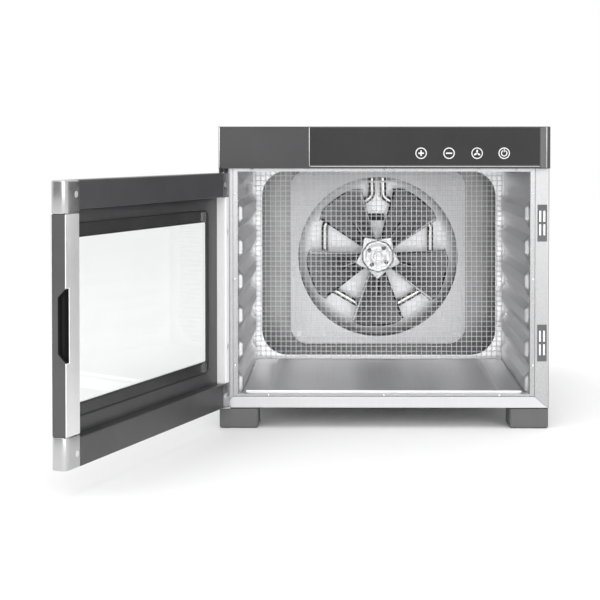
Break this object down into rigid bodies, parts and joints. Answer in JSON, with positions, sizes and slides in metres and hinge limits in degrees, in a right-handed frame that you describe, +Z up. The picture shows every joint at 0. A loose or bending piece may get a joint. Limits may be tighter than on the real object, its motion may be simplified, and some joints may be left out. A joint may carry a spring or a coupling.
{
  "type": "food dehydrator",
  "caption": "Cabinet food dehydrator with a hinged glass door, ledged drying cavity, wire guard, rear fan, hexagonal heater and touch panel.",
  "frame": {"origin": "centre of the cabinet's footprint, on the surface it stands on", "axes": "+X to the right seen from the front, +Y towards the back, +Z up"},
  "size_m": [0.4524, 0.7601, 0.311],
  "materials": {
    "shell_steel": "brushed stainless sheet",
    "liner_steel": "satin stainless sheet",
    "bright_steel": "bright plated fasteners and wire",
    "galvanised": "galvanised inner sheet",
    "shroud_sheet": "smooth light metal sheet",
    "fan_sheet": "dark painted steel sheet",
    "heater_steel": "stainless heater tube",
    "ceramic": "glazed ceramic collars",
    "copper_coil": "enamelled winding",
    "lamination": "laminated motor iron",
    "brass": "sintered bronze",
    "black_plastic": "matt black moulding",
    "dark_panel": "dark grey painted panel",
    "gloss_black": "glossy black overlay",
    "print_white": "white print",
    "circuit_board": "green board",
    "rail_dark": "dark painted door rails",
    "cast_trim": "satin cast corner pieces",
    "gasket_rubber": "black glazing seal",
    "glass": "clear tempered glass",
    "foot_plastic": "dark grey moulded feet"
  },
  "bodies": {
    "cabinet": {"outer_shell": "shell_steel", "base_plate": "shell_steel", "rear_cover": "galvanised", "cover_screws": "bright_steel", "feet": "foot_plastic", "foot_screws": "bright_steel", "cord_gland": "black_plastic", "liner_right": "liner_steel", "liner_left": "liner_steel", "liner_floor": "liner_steel", "liner_ceiling": "liner_steel", "liner_trim": "liner_steel", "trim_screws": "bright_steel", "rear_bulkhead": "liner_steel", "mesh_guard": "bright_steel", "fan_shroud": "shroud_sheet", "shroud_standoffs": "galvanised", "motor_plate": "galvanised", "heater_element": "heater_steel", "heater_terminals": "ceramic", "heater_bracket": "galvanised", "heater_clips": "galvanised", "thermostat": "black_plastic", "thermostat_bracket": "galvanised", "motor_stator": "lamination", "motor_coil": "copper_coil", "motor_brackets": "galvanised", "motor_posts": "galvanised", "motor_bearings": "brass", "control_fascia": "dark_panel", "panel_overlay": "gloss_black", "badge_plate": "dark_panel", "touch_marks": "print_white", "control_board": "circuit_board", "display_module": "black_plastic", "touch_springs": "bright_steel", "power_board": "circuit_board", "catch_housings": "foot_plastic", "catch_poles": "bright_steel", "hinge_pins": "bright_steel", "hinge_bush": "black_plastic", "hinge_bracket": "shell_steel", "drip_tray": "liner_steel"},
    "door": {"door_rail_top": "rail_dark", "door_rail_bottom": "rail_dark", "door_stile_hinge": "shell_steel", "door_stile_handle": "shell_steel", "handle_insert": "black_plastic", "handle_caps": "cast_trim", "hinge_caps": "cast_trim", "door_screws": "bright_steel", "door_inner_frame": "rail_dark", "glass_gasket": "gasket_rubber", "door_glass": "glass", "glass_clips": "bright_steel"},
    "fan": {"motor_rotor": "lamination", "fan_shaft": "bright_steel", "fan_wheel": "fan_sheet", "fan_hub": "cast_trim", "fan_rivets": "bright_steel"}
  },
  "joints": [
    {"name": "door_hinge", "type": "hinge", "parent": "cabinet", "child": "door", "pos_m": [-0.1645, -0.2226, 0.143], "axis": [0, 0, -1], "range_deg": [-109, 0]},
    {"name": "fan_spin", "type": "hinge", "parent": "cabinet", "child": "fan", "pos_m": [0, 0.103, 0.155], "axis": [0, -1, 0], "continuous": true}
  ]
}
